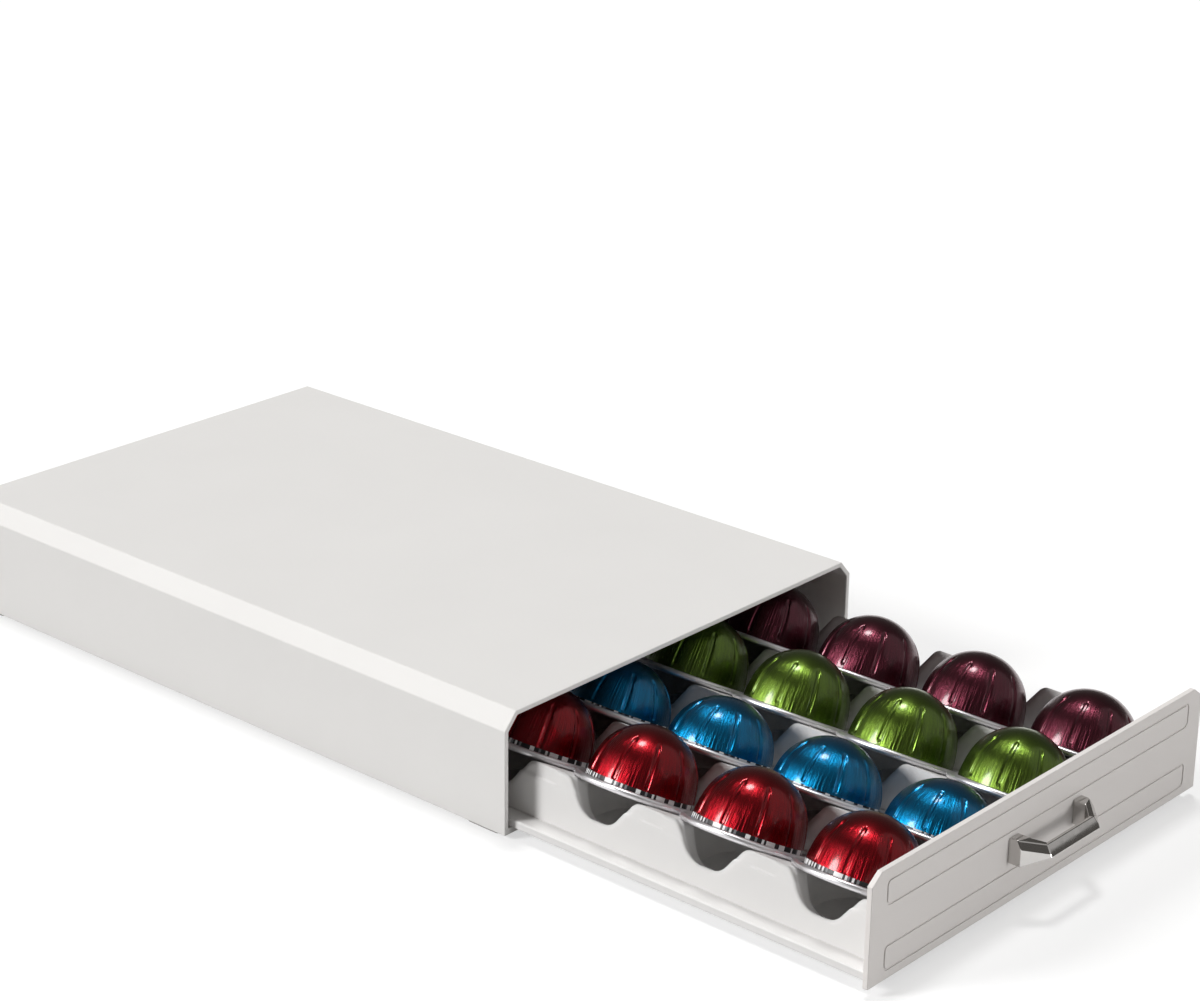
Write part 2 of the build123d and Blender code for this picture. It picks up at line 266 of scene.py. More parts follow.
class StageSettings(PropertyGroup):
    """Floor, light and camera."""

    floor_colour: FloatVectorProperty(
        name="Floor colour", description="Pale colour of the floor",
        subtype="COLOR", size=3, min=0.0, max=1.0, default=(0.45, 0.45, 0.45),
    )
    floor_radius: FloatProperty(
        name="Floor radius", description="Radius of the floor",
        unit="LENGTH", min=1.0, default=14.0,
    )
    overhead_strength: FloatProperty(
        name="Overhead strength", description="Strength of the light over the object",
        min=0.0, default=1.36,
    )
    overhead_direction: FloatVectorProperty(
        name="Overhead direction", description="Direction from the object to the light over it",
        subtype="DIRECTION", size=3, default=(0.15, 0.2, 0.968),
    )
    overhead_angle: FloatProperty(
        name="Overhead size", description="Angle that the light over the object covers",
        subtype="ANGLE", unit="ROTATION", default=radians(12.0),
    )
    left_strength: FloatProperty(
        name="Left strength", description="Strength of the light at the left",
        min=0.0, default=2.82,
    )
    left_direction: FloatVectorProperty(
        name="Left direction", description="Direction from the object to the light at the left",
        subtype="DIRECTION", size=3, default=(-0.73, 0.5, 0.47),
    )
    left_angle: FloatProperty(
        name="Left size", description="Angle that the light at the left covers",
        subtype="ANGLE", unit="ROTATION", default=radians(18.0),
    )
    right_strength: FloatProperty(
        name="Right strength", description="Strength of the light at the right",
        min=0.0, default=0.38,
    )
    right_direction: FloatVectorProperty(
        name="Right direction", description="Direction from the object to the light at the right",
        subtype="DIRECTION", size=3, default=(0.42, -0.63, 0.65),
    )
    right_angle: FloatProperty(
        name="Right size", description="Angle that the light at the right covers",
        subtype="ANGLE", unit="ROTATION", default=radians(64.0),
    )
    front_strength: FloatProperty(
        name="Front strength", description="Strength of the low light in front",
        min=0.0, default=0.98,
    )
    front_direction: FloatVectorProperty(
        name="Front direction", description="Direction from the object to the low light in front",
        subtype="DIRECTION", size=3, default=(0.1, -0.98, 0.17),
    )
    front_angle: FloatProperty(
        name="Front size", description="Angle that the low light in front covers",
        subtype="ANGLE", unit="ROTATION", default=radians(20.0),
    )
    surroundings: FloatProperty(
        name="Surroundings", description="Brightness of the dim surroundings",
        min=0.0, default=0.11,
    )
    surroundings_colour: FloatVectorProperty(
        name="Surroundings colour", description="Warm white of the surroundings",
        subtype="COLOR", size=3, min=0.0, max=1.0, default=(1.0, 0.95, 0.9),
    )
    horizon: FloatProperty(
        name="Horizon", description="Brightness of the surroundings along the horizon",
        min=0.0, default=0.5,
    )
    floor_glow: FloatProperty(
        name="Floor glow",
        description="What is added to the floor as it is seen, so that it shows white",
        min=0.0, default=0.57,
    )
    camera_place: FloatVectorProperty(
        name="Camera place", description="Place of the camera",
        subtype="TRANSLATION", unit="LENGTH", size=3, precision=5,
        default=(-1.00171, -0.91460, 0.63437),
    )
    camera_azimuth: FloatProperty(
        name="Camera azimuth", description="Turn of the camera round the object",
        subtype="ANGLE", unit="ROTATION", default=radians(-48.5159),
    )
    camera_elevation: FloatProperty(
        name="Camera elevation", description="Angle at which the camera looks down",
        subtype="ANGLE", unit="ROTATION", default=radians(21.2559),
    )
    camera_roll: FloatProperty(
        name="Camera roll", description="Turn of the camera about its own line of sight",
        subtype="ANGLE", unit="ROTATION", default=radians(0.7353),
    )
    camera_lens: FloatProperty(
        name="Camera lens", description="Focal length on a sensor 36 mm wide",
        unit="CAMERA", precision=3, default=89.063,
    )


# Node trees

NOISE_SPAN = (0.3, 0.7)  # Most values of a noise lie in this span
FULL_SPAN = (0.0, 1.0)
MIX_SOCKETS = {"VECTOR": (4, 5, 1), "RGBA": (6, 7, 2)}  # First input, second input and output
EDGE_SAMPLES = 6
LIP_SAMPLES = 12


def new_finish(name):
    """Material with its tree and its shader."""
    finish = bpy.data.materials.get(name) or bpy.data.materials.new(name)
    finish.use_nodes = True
    tree = finish.node_tree
    tree.nodes.clear()
    shader = tree.nodes.new("ShaderNodeBsdfPrincipled")
    output = tree.nodes.new("ShaderNodeOutputMaterial")
    tree.links.new(shader.outputs["BSDF"], output.inputs["Surface"])
    return finish, tree, shader


def fill(tree, node, sockets):
    """Gives sockets of a node their values or links."""
    for key, value in sockets.items():
        if isinstance(value, bpy.types.NodeSocket):
            tree.links.new(value, node.inputs[key])
        else:
            node.inputs[key].default_value = value


def add_node(tree, kind, sockets=None, **settings):
    """Node with its settings and the values or links of its sockets."""
    node = tree.nodes.new(kind)
    for key, value in settings.items():
        setattr(node, key, value)
    fill(tree, node, sockets or {})
    return node


def object_place(tree):
    """Place in the object's own coordinates."""
    return add_node(tree, "ShaderNodeTexCoord").outputs["Object"]


def drawn_place(tree):
    """Place on a capsule: direction from its axis, and height along the dome in millimetres."""
    return add_node(tree, "ShaderNodeAttribute", attribute_name="drawn").outputs["Vector"]


def stretched(tree, place, scale):
    """Place with its three parts scaled."""
    sockets = {"Vector": place, "Scale": scale}
    return add_node(tree, "ShaderNodeMapping", sockets).outputs["Vector"]


def split(tree, place):
    """The three parts of a place."""
    return add_node(tree, "ShaderNodeSeparateXYZ", {"Vector": place}).outputs


def noise(tree, place, scale, detail=2.0, roughness=0.5):
    """Noise value at a place."""
    sockets = {"Vector": place, "Scale": scale, "Detail": detail, "Roughness": roughness}
    return add_node(tree, "ShaderNodeTexNoise", sockets).outputs["Fac"]


def span(tree, value, source, target, smooth=False):
    """Value mapped from one span to another."""
    sockets = {
        "Value": value,
        "From Min": source[0], "From Max": source[1],
        "To Min": target[0], "To Max": target[1],
    }
    kind = "SMOOTHSTEP" if smooth else "LINEAR"
    return add_node(tree, "ShaderNodeMapRange", sockets, interpolation_type=kind).outputs["Result"]


def maths(tree, operation, first, second=0.0):
    """Result of one sum."""
    sockets = {0: first, 1: second}
    return add_node(tree, "ShaderNodeMath", sockets, operation=operation).outputs["Value"]


def blend(tree, factor, first, second, kind="RGBA"):
    """Colour or direction between two others."""
    first_socket, second_socket, result = MIX_SOCKETS[kind]
    sockets = {0: factor, first_socket: first, second_socket: second}
    return add_node(tree, "ShaderNodeMix", sockets, data_type=kind).outputs[result]


def shade(colour, share):
    """Colour made lighter or darker by a share."""
    return (*(min(1.0, value * share) for value in colour), 1.0)


def tones(tree, factor, colour, shares):
    """Colour between two tones of it."""
    return blend(tree, factor, shade(colour, shares[0]), shade(colour, shares[1]))


def bump(tree, height, strength, distance, normal=None):
    """Normal bent by a height."""
    sockets = {"Height": height, "Strength": strength, "Distance": distance}
    if normal is not None:
        sockets["Normal"] = normal
    return add_node(tree, "ShaderNodeBump", sockets).outputs["Normal"]


def rounded(tree, radius, samples):
    """Normal that is rounded at the edges."""
    return add_node(tree, "ShaderNodeBevel", {"Radius": radius}, samples=samples).outputs["Normal"]


def soft_lips(tree, place, settings, crest, first_row):
    """Normal that is rounded widely round the finger notches and a little at all other edges."""
    lip = settings.lip_round
    half_spacing = settings.notch_spacing / 2
    parts = split(tree, place)
    from_first = maths(tree, "SUBTRACT", parts["Y"], first_row)
    from_row = maths(tree, "PINGPONG", from_first, half_spacing)
    reach = half_spacing - lip
    near = span(tree, from_row, (reach - lip, reach), (1.0, 0.0), smooth=True)
    foot = crest - settings.notch_depth - lip
    high = span(tree, parts["Z"], (foot - lip, foot), FULL_SPAN, smooth=True)
    narrow = rounded(tree, settings.edge_round, EDGE_SAMPLES)
    wide = rounded(tree, lip, LIP_SAMPLES)
    return blend(tree, maths(tree, "MULTIPLY", near, high), narrow, wide, kind="VECTOR")


# Finishes: noise scales are cells to the metre, pairs are the two ends of a span

PLASTIC_TONES = (0.99, 1.008)
PLASTIC_GLOSS = (-0.05, 0.07)
RUBBER_TONES = (0.9, 1.25)
CHROME_TONES = (1.02, 0.94)
STEEL_COLOURS = ((0.50, 0.49, 0.46, 1.0), (0.66, 0.65, 0.62, 1.0))
LACQUER_TONES = (0.88, 1.12)
STREAK_SCALE = (44.0, 44.0, 0.025)
STREAK_SHARE = 0.6  # The rest of the tone comes from the flecks
STREAK_FADE = (16.0, 31.0)  # Heights in millimetres between which the wrinkles die out
RIM_SCALE = (2.0, 2.0, 9.0)
RIM_COLOURS = ((0.70, 0.69, 0.71, 1.0), (0.82, 0.81, 0.83, 1.0))
TICK_LIGHT = (0.72, 0.72, 0.72, 1.0)
TICK_DARK = (0.006, 0.006, 0.007, 1.0)
TICK_GREY = (0.16, 0.16, 0.17, 1.0)
DARK_FROM = 0.38  # Chance above which a tick is dark
GREY_FROM = 0.86  # Chance above which it is grey
FOIL_COLOURS = ((0.70, 0.70, 0.70, 1.0), (0.86, 0.86, 0.86, 1.0))


def moulded_plastic(name, colour, settings, soft=False, notches=None):
    """Satin moulded plastic: slow changes of tone, fine grain and, where asked, softened edges.

    The notches are given by the height of the tray's crest and the place of its first row.
    """
    finish, tree, shader = new_finish(name)
    place = object_place(tree)
    tone = span(tree, noise(tree, place, scale=16.0, detail=4.0), NOISE_SPAN, FULL_SPAN)
    gloss = noise(tree, place, scale=420.0, detail=3.0)
    rough = [settings.roughness + change for change in PLASTIC_GLOSS]
    grain = noise(tree, place, scale=2600.0, detail=1.0)
    edges = None
    if notches:
        edges = soft_lips(tree, place, settings, *notches)
    elif soft:
        edges = rounded(tree, settings.edge_round, EDGE_SAMPLES)
    fill(tree, shader, {
        "Base Color": tones(tree, tone, colour, PLASTIC_TONES),
        "Roughness": span(tree, gloss, (0.25, 0.75), rough),
        "Normal": bump(tree, grain, strength=0.35, distance=settings.grain, normal=edges),
        "Specular IOR Level": 0.3,
    })
    return finish


def foot_rubber(colour):
    """Matt rubber with a coarse grain and a little dust."""
    finish, tree, shader = new_finish("foot_rubber")
    place = object_place(tree)
    dust = span(tree, noise(tree, place, scale=240.0, detail=5.0), (0.45, 0.75), FULL_SPAN)
    grain = noise(tree, place, scale=1800.0, detail=2.0)
    fill(tree, shader, {
        "Base Color": tones(tree, dust, colour, RUBBER_TONES),
        "Roughness": span(tree, dust, FULL_SPAN, (0.72, 0.88)),
        "Normal": bump(tree, grain, strength=0.6, distance=0.00004),
    })
    return finish


def handle_chrome(colour):
    """Polished chrome with faint smears."""
    finish, tree, shader = new_finish("handle_chrome")
    smear = noise(tree, object_place(tree), scale=130.0, detail=5.0, roughness=0.6)
    tone = span(tree, smear, (0.35, 0.7), FULL_SPAN)
    fill(tree, shader, {
        "Base Color": tones(tree, tone, colour, CHROME_TONES),
        "Roughness": span(tree, smear, (0.3, 0.75), (0.06, 0.13)),
        "Metallic": 1.0,
    })
    return finish


def screw_steel():
    """Zinc-plated steel, a little uneven."""
    finish, tree, shader = new_finish("screw_steel")
    spots = noise(tree, object_place(tree), scale=900.0, detail=4.0)
    fill(tree, shader, {
        "Base Color": blend(tree, spots, *STEEL_COLOURS),
        "Roughness": span(tree, spots, NOISE_SPAN, (0.25, 0.4)),
        "Metallic": 1.0,
    })
    return finish


def capsule_lacquer(name, colour):
    """Coloured lacquer on drawn aluminium: fine drawing wrinkles on the lower part of the dome."""
    finish, tree, shader = new_finish(name)
    drawn = drawn_place(tree)
    streaks = noise(tree, stretched(tree, drawn, STREAK_SCALE), scale=1.0)
    lower = span(tree, split(tree, drawn)["Z"], STREAK_FADE, (1.0, 0.0), smooth=True)
    wrinkle = maths(tree, "MULTIPLY", streaks, lower)
    fleck = noise(tree, object_place(tree), scale=5200.0, detail=1.0)
    streak_tone = span(tree, streaks, NOISE_SPAN, (0.0, STREAK_SHARE))
    fleck_tone = span(tree, fleck, NOISE_SPAN, (0.0, 1.0 - STREAK_SHARE))
    tone = maths(tree, "ADD", streak_tone, fleck_tone)
    fill(tree, shader, {
        "Base Color": tones(tree, tone, colour, LACQUER_TONES),
        "Roughness": span(tree, fleck, NOISE_SPAN, (0.26, 0.33)),
        "Normal": bump(tree, wrinkle, strength=0.9, distance=0.00044),
        "Metallic": 1.0,
        "Coat Weight": 0.42,
        "Coat Roughness": 0.15,
        "Coat IOR": 1.5,
    })
    return finish


def rim_metal():
    """Bare rolled aluminium of the rim, brushed along its length."""
    finish, tree, shader = new_finish("capsule_rim")
    lines = noise(tree, stretched(tree, drawn_place(tree), RIM_SCALE), scale=1.0, detail=3.0)
    fill(tree, shader, {
        "Base Color": blend(tree, lines, *RIM_COLOURS),
        "Roughness": span(tree, lines, NOISE_SPAN, (0.36, 0.44)),
        "Metallic": 1.0,
    })
    return finish


def code_ring(sizes):
    """Ring of printed ticks round the foot of a dome: dark, grey and light at random."""
    finish, tree, shader = new_finish("capsule_code_ring")
    parts = split(tree, drawn_place(tree))
    turn = maths(tree, "ARCTAN2", parts["Y"], parts["X"])
    cell = maths(tree, "FLOOR", maths(tree, "MULTIPLY", turn, sizes.code_count / (2.0 * pi)))
    draw = add_node(tree, "ShaderNodeTexWhiteNoise", {"W": cell}, noise_dimensions="1D")
    chance = draw.outputs["Value"]
    dark = maths(tree, "GREATER_THAN", chance, DARK_FROM)
    grey = maths(tree, "GREATER_THAN", chance, GREY_FROM)
    fill(tree, shader, {
        "Base Color": blend(tree, grey, blend(tree, dark, TICK_LIGHT, TICK_DARK), TICK_GREY),
        "Roughness": span(tree, chance, FULL_SPAN, (0.38, 0.5)),
    })
    return finish


def lid_foil():
    """Aluminium foil with a fine embossed crumple."""
    finish, tree, shader = new_finish("capsule_foil")
    crumple = noise(tree, object_place(tree), scale=260.0, detail=4.0, roughness=0.6)
    fill(tree, shader, {
        "Base Color": blend(tree, crumple, *FOIL_COLOURS),
        "Roughness": span(tree, crumple, NOISE_SPAN, (0.22, 0.36)),
        "Normal": bump(tree, crumple, strength=0.5, distance=0.0003),
        "Metallic": 1.0,
    })
    return finish


# Pieces

MERGE_DISTANCE = 1e-6
EDGE_SEGMENTS = 3
AXIS_DISTANCE = 1e-7  # Nearer than this to the middle counts as on it


def add_piece(name, mesh, body, slot, *nodes):
    """Object of a finished mesh that rides on a body and stands for its CAD nodes."""
    piece = bpy.data.objects.new(name, mesh)
    bpy.context.scene.collection.objects.link(piece)
    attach(piece, body)
    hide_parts(*nodes)
    return piece


def mirror_half(bm):
    """Adds the other half of what was drawn on one side of the middle."""
    geom = bm.verts[:] + bm.edges[:] + bm.faces[:]
    bmesh.ops.mirror(bm, geom=geom, axis="X", merge_dist=MERGE_DISTANCE)


def finish_mesh(name, bm, *finishes):
    """Mesh of a bmesh, with its doubles merged, its faces outwards and its shading smooth."""
    bmesh.ops.remove_doubles(bm, verts=bm.verts, dist=MERGE_DISTANCE)
    bmesh.ops.recalc_face_normals(bm, faces=bm.faces)
    mesh = bpy.data.meshes.new(name)
    bm.to_mesh(mesh)
    bm.free()
    mesh.shade_smooth()
    for finish in finishes:
        mesh.materials.append(finish)
    return mesh


def round_edges(piece, width, angle=30.0):
    """Softens those edges of a piece that are sharper than an angle in degrees."""
    bevel = piece.modifiers.new("softened_edges", "BEVEL")
    bevel.affect = "EDGES"
    bevel.width = width
    bevel.segments = EDGE_SEGMENTS
    bevel.profile = 0.5
    bevel.limit_method = "ANGLE"
    bevel.angle_limit = radians(angle)
    bevel.harden_normals = True


def paint(node, finish):
    """Gives a CAD node a finish."""
    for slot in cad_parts[node].material_slots:
        slot.material = finish


class DRAWER_OT_cabinet(Operator):
    """Builds the cabinet's case and finishes its back panel, guide rails and feet"""

    bl_idname = "capsule_drawer.cabinet"
    bl_label = "Cabinet"

    def execute(self, context):
        sizes = context.scene.drawer_cabinet
        plastic = context.scene.drawer_plastic
        colour = plastic.cabinet_colour
        low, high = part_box("cabinet_shell")
        case = moulded_plastic("cabinet_plastic", colour, plastic)
        inside = moulded_plastic("cabinet_inside_plastic", colour, plastic, soft=True)

        # Right half of the section, from the top's middle down the outside and back up the inside
        slope = hypot(sizes.slope_across, sizes.slope_down)
        shoulder = high.z - sizes.slope_down
        crown = high.x - sizes.slope_across
        inner_top = high.z - sizes.wall
        inner_shoulder = shoulder - sizes.wall * (slope - sizes.slope_down) / sizes.slope_across
        inner_crown = crown - sizes.wall * (slope - sizes.slope_across) / sizes.slope_down
        inner_side = high.x - sizes.wall
        ledge_side = inner_side - sizes.ledge_width
        ledge_top = low.z + sizes.ledge_height
        half = [
            (0.0, high.z), (crown, high.z), (high.x, shoulder), (high.x, low.z),
            (ledge_side, low.z), (ledge_side, ledge_top), (inner_side, ledge_top),
            (inner_side, inner_shoulder), (inner_crown, inner_top), (0.0, inner_top),
        ]
        bm = bmesh.new()
        section = bm.faces.new([bm.verts.new((x, low.y, z)) for x, z in half])
        grown = bmesh.ops.extrude_face_region(bm, geom=[section])["geom"]
        far = [item for item in grown if isinstance(item, bmesh.types.BMVert)]
        bmesh.ops.translate(bm, verts=far, vec=(0.0, high.y - low.y, 0.0))
        middle = [
            face for face in bm.faces
            if all(abs(vert.co.x) < AXIS_DISTANCE for vert in face.verts)
        ]
        bmesh.ops.delete(bm, geom=middle, context="FACES")
        mirror_half(bm)
        mesh = finish_mesh("cabinet_case", bm, case)
        piece = add_piece("cabinet_case", mesh, "cabinet", "cabinet_plastic", "cabinet_shell")
        round_edges(piece, plastic.edge_round)

        for node in ("back_panel", "left_guide_rail", "right_guide_rail"):
            paint(node, inside)
        rubber = foot_rubber(plastic.foot_colour)
        for end in ("front", "rear"):
            for side in ("left", "right"):
                paint(f"{end}_{side}_foot", rubber)
        return {"FINISHED"}


class DRAWER_OT_tray(Operator):
    """Finishes the capsule tray"""

    bl_idname = "capsule_drawer.tray"
    bl_label = "Capsule tray"

    def execute(self, context):
        plastic = context.scene.drawer_plastic
        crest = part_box("capsule_tray")[1].z
        low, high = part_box("red_capsule_1_lid")
        first_row = (low.y + high.y) / 2
        notches = (crest, first_row)
        finish = moulded_plastic("tray_plastic", plastic.tray_colour, plastic, notches=notches)
        paint("capsule_tray", finish)
        return {"FINISHED"}


class DRAWER_OT_front_panel(Operator):
    """Finishes the front panel"""

    bl_idname = "capsule_drawer.front_panel"
    bl_label = "Front panel"

    def execute(self, context):
        plastic = context.scene.drawer_plastic
        # The panel's colour is the plastic's white with painted warm light on the front face
        finish = moulded_plastic("panel_plastic", plastic.panel_colour_with_painted_warmth, plastic, soft=True)
        paint("front_panel", finish)
        return {"FINISHED"}


FACET_LEAN = 0.7  # Depth of the handle's facet for its height

# Parts of the facet's height: set-back of the bar's nose, cut of the leg's corner, edge radius
NOSE_PART, CORNER_PART, EDGE_PART = 4, 6, 8
HANDLE_EDGE_ANGLE = 12.0


class DRAWER_OT_handle(Operator):
    """Builds the bow handle and finishes its screws"""

    bl_idname = "capsule_drawer.handle"
    bl_label = "Handle"

    def execute(self, context):
        sizes = context.scene.drawer_handle
        low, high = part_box("bow_handle")
        chrome = handle_chrome(sizes.chrome_colour)
        back, front = high.y, low.y
        leg_front = back - sizes.leg_straight
        leg_inside = low.x + sizes.leg_width
        bar_end = low.x + sizes.bar_inset
        bar_back = front + sizes.bar_depth
        bar_back_end = bar_end + sizes.bar_depth / 2
        bar_middle = (low.z + high.z) / 2 + sizes.bar_lift
        bar_top = bar_middle + sizes.bar_height / 2
        bar_foot = bar_middle - sizes.bar_height / 2
        facet = sizes.facet
        facet_depth = facet * FACET_LEAN
        nose = facet / NOSE_PART
        corner_cut = facet / CORNER_PART
        bar_facet_back = front + nose + facet_depth

        # Five-sided rings: two corners outside, the facet's upper corner, two corners inside
        leg_at_panel = (
            (low.x, back, low.z),
            (low.x, back, high.z - corner_cut),
            (low.x + corner_cut, back, high.z),
            (leg_inside, back, high.z),
            (leg_inside, back, low.z),
        )
        leg_at_bend = (
            (low.x, leg_front, low.z),
            (low.x, leg_front, high.z - facet),
            (low.x + corner_cut, leg_front + facet_depth, high.z),
            (leg_inside, leg_front, high.z),
            (leg_inside, leg_front, low.z),
        )
        bar_at_end = (
            (bar_end, front, bar_foot),
            (bar_end, front + nose, bar_top - facet),
            (bar_end + nose, bar_facet_back, bar_top),
            (bar_back_end, bar_back, bar_top),
            (bar_back_end, bar_back, bar_foot),
        )
        bar_at_middle = tuple((0.0, y, z) for x, y, z in bar_at_end)
        bm = bmesh.new()
        loops = []
        for ring in (leg_at_panel, leg_at_bend, bar_at_end, bar_at_middle):
            corners = [bm.verts.new(corner) for corner in ring]
            loops.append([
                bm.edges.new((corners[index - 1], corners[index])) for index in range(len(corners))
            ])
        for first, second in zip(loops, loops[1:]):
            bmesh.ops.bridge_loops(bm, edges=first + second)
        bmesh.ops.edgeloop_fill(bm, edges=loops[0])
        mirror_half(bm)
        mesh = finish_mesh("pull_handle", bm, chrome)
        piece = add_piece("pull_handle", mesh, "drawer", "handle_chrome", "bow_handle")
        round_edges(piece, facet / EDGE_PART, HANDLE_EDGE_ANGLE)

        steel = screw_steel()
        for side in ("left", "right"):
            paint(f"{side}_handle_screw", steel)
        return {"FINISHED"}


# Capsules: steps along the arcs of the section, and round the axis for each groove
CROWN_STEPS, SIDE_STEPS, CODE_STEPS, BEAD_STEPS = 34, 26, 4, 16
GROOVE_STEPS = 24

CROWDING = 0.8  # How strongly the corners of the faces are drawn towards the grooves
GROOVE_EDGE = 1.25  # Half widths from a groove's middle to where it starts
GROOVE_SLOPE = 0.6  # Half widths over which a groove gets its full depth
MILLIMETRES = 1000
LEVEL_DISTANCE = 1e-5
TICKS_INDEX, RIM_INDEX = 1, 2
SHARP_ANGLE = 50.0

# Degrees that capsules are turned in their seats: all, the first row, steps behind the second
SEAT_TURN, FIRST_ROW_TURN, REAR_ROWS_TURN = -84.0, 7.0, 3.0


def capsule_section(sizes, height, code):
    """Arcs of a capsule's half section: crown and side of the dome, and rolled bead of the rim.

    Turns are angles from the axis; the foot is where the dome meets the flange.
    """
    share = sizes.crown_share
    rise = height - sizes.dome_radius
    swell = (1 + 2 * share) / (2 * share)
    crown = sizes.dome_radius - rise * share
    crown_centre = Vector((0.0, 0.0, sizes.flange_top + height - crown))
    turn = atan2(swell, 1 + share)
    side = sizes.dome_radius + rise * swell
    side_centre = crown_centre + Vector((sin(turn), 0.0, cos(turn))) * (crown - side)
    foot_turn = atan2(sizes.dome_radius - side_centre.x, sizes.flange_top - side_centre.z)
    code_turn = foot_turn - code / side

    bead = sizes.bead_radius
    bead_centre = Vector((sizes.rim_radius - bead, 0.0, bead))
    top_reach = sqrt(bead**2 - (sizes.flange_top - bead) ** 2)
    under_reach = sqrt(bead**2 - (bead - sizes.lid_thickness) ** 2)
    bead_turn = atan2(-under_reach, sizes.lid_thickness - bead)
    bead_turn -= atan2(-top_reach, sizes.flange_top - bead)
    return SimpleNamespace(
        crown=crown, crown_centre=crown_centre, turn=turn, side=side, side_centre=side_centre,
        foot_turn=foot_turn, foot_arc=crown * turn + side * (foot_turn - turn),
        code_turn=code_turn, code_top=side_centre.z + side * cos(code_turn),
        bead_centre=bead_centre, bead_turn=bead_turn % (2 * pi),
        bead_start=Vector((bead_centre.x - top_reach, 0.0, sizes.flange_top)),
    )


def spin_capsule(bm, sizes, section, height, code):
    """Draws the half section from the dome's top to the rim and back under it, and spins it."""

    def arc(vert, centre, angle, steps):
        made = bmesh.ops.spin(
            bm, geom=[vert], cent=centre, axis=(0.0, 1.0, 0.0), angle=angle, steps=steps,
        )
        return [item for item in made["geom_last"] if isinstance(item, bmesh.types.BMVert)][0]

    def line(vert, place):
        made = bmesh.ops.extrude_vert_indiv(bm, verts=[vert])["verts"][0]
        made.co = place
        return made

    end = bm.verts.new((0.0, 0.0, sizes.flange_top + height))
    end = arc(end, section.crown_centre, section.turn, CROWN_STEPS)
    end = arc(end, section.side_centre, section.code_turn - section.turn, SIDE_STEPS)
    if code:
        end = arc(end, section.side_centre, section.foot_turn - section.code_turn, CODE_STEPS)
    end = line(end, section.bead_start)
    end = arc(end, section.bead_centre, section.bead_turn, BEAD_STEPS)
    line(end, (0.0, 0.0, end.co.z))
    bmesh.ops.spin(
        bm, geom=bm.verts[:] + bm.edges[:], cent=(0.0, 0.0, 0.0), axis=(0.0, 0.0, 1.0),
        angle=2 * pi, steps=sizes.groove_count * GROOVE_STEPS, use_merge=True,
    )
    bmesh.ops.remove_doubles(bm, verts=bm.verts, dist=MERGE_DISTANCE)


def press_grooves(bm, sizes, section):
    """Presses the grooves into the dome, and notes each corner's place on it for the finishes."""
    drawn = bm.verts.layers.float_vector.new("drawn")
    sector = 2 * pi / sizes.groove_count
    half_width = sizes.groove_width / 2
    foot_arc = section.foot_arc
    start, stop = foot_arc * sizes.groove_start, foot_arc - sizes.groove_end
    for vert in bm.verts:
        reach = hypot(vert.co.x, vert.co.y)
        if reach < AXIS_DISTANCE:
            vert[drawn] = (1.0, 0.0, foot_arc * MILLIMETRES)
            continue

        # Corners are drawn towards the groove in the middle of their sector
        share = atan2(vert.co.y, vert.co.x) / sector + 0.5
        place = share - floor(share)
        place += CROWDING * sin(2 * pi * place) / (2 * pi)
        angle = (floor(share) + place - 0.5) * sector
        outwards = Vector((cos(angle), sin(angle), 0.0))
        vert.co = outwards * reach + Vector((0.0, 0.0, vert.co.z))

        # Distance along the section from the dome's top, and depth of the groove there
        along = foot_arc + reach - sizes.dome_radius
        if vert.co.z > sizes.flange_top + MERGE_DISTANCE and reach < sizes.dome_radius:
            lean = atan2(reach, vert.co.z - section.crown_centre.z)
            along = section.crown * lean
            if lean > section.turn:
                lean = atan2(reach - section.side_centre.x, vert.co.z - section.side_centre.z)
                along = section.crown * section.turn + section.side * (lean - section.turn)
            beyond = max(start + half_width - along, along - stop + half_width, 0.0)
            distance = hypot((place - 0.5) * sector * reach, beyond)
            press = (GROOVE_EDGE - distance / half_width) / GROOVE_SLOPE
            press = max(0.0, min(1.0, press))
            press = press * press * (3 - 2 * press)
            normal = outwards * sin(lean) + Vector((0.0, 0.0, cos(lean)))
            vert.co -= normal * sizes.groove_depth * press
        vert[drawn] = (outwards.x, outwards.y, (foot_arc - along) * MILLIMETRES)


def dome_mesh(name, sizes, height, code, finishes):
    """Capsule without its lid, standing on the origin: grooved dome, flange and rolled rim."""
    section = capsule_section(sizes, height, code)
    bm = bmesh.new()
    spin_capsule(bm, sizes, section, height, code)
    press_grooves(bm, sizes, section)
    for face in bm.faces:
        middle = face.calc_center_median()
        on_bead = hypot(middle.x, middle.y) > section.bead_start.x
        if on_bead or middle.z < sizes.flange_top + LEVEL_DISTANCE:
            face.material_index = RIM_INDEX
        elif middle.z < section.code_top:
            face.material_index = TICKS_INDEX
    mesh = finish_mesh(name, bm, *finishes)
    mesh.set_sharp_from_angle(angle=radians(SHARP_ANGLE))
    return mesh


def seat_turn(column, row):
    """Angle that a capsule is turned in its seat, a little uneven behind the second row."""
    turn = SEAT_TURN
    if row == 1:
        turn += FIRST_ROW_TURN
    elif row > 2:
        turn += REAR_ROWS_TURN * ((column * 5 + row * 7) % 4 - 1)
    return radians(turn)


